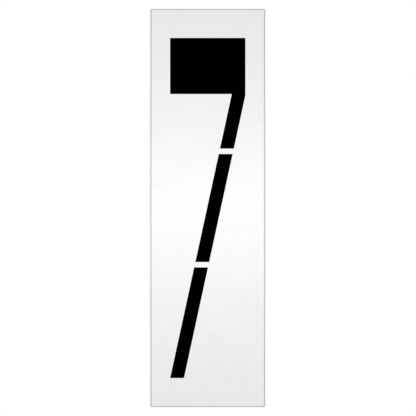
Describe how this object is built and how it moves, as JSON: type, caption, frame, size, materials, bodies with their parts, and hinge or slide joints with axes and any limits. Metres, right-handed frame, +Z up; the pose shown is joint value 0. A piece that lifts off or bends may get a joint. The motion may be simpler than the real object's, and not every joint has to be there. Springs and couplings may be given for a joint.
{
  "type": "road marking stencil",
  "caption": "Flat plastic road marking stencil: a long plain sheet with a tall numeral cut through it, its slanted leg tied by short bridges, laid on the road to paint through.",
  "frame": {"origin": "centre of the sheet's underside, on the road", "axes": "+Z up out of the road, +Y along the sheet towards the top of the numeral, +X to the numeral's right as it is read"},
  "size_m": [0.61, 2.134, 0.0032],
  "materials": {
    "ldpe_sheet": "white low-density polyethylene sheet with satin extruded faces and routed edges"
  },
  "bodies": {
    "root": {"stencil_sheet": "ldpe_sheet"}
  },
  "joints": []
}
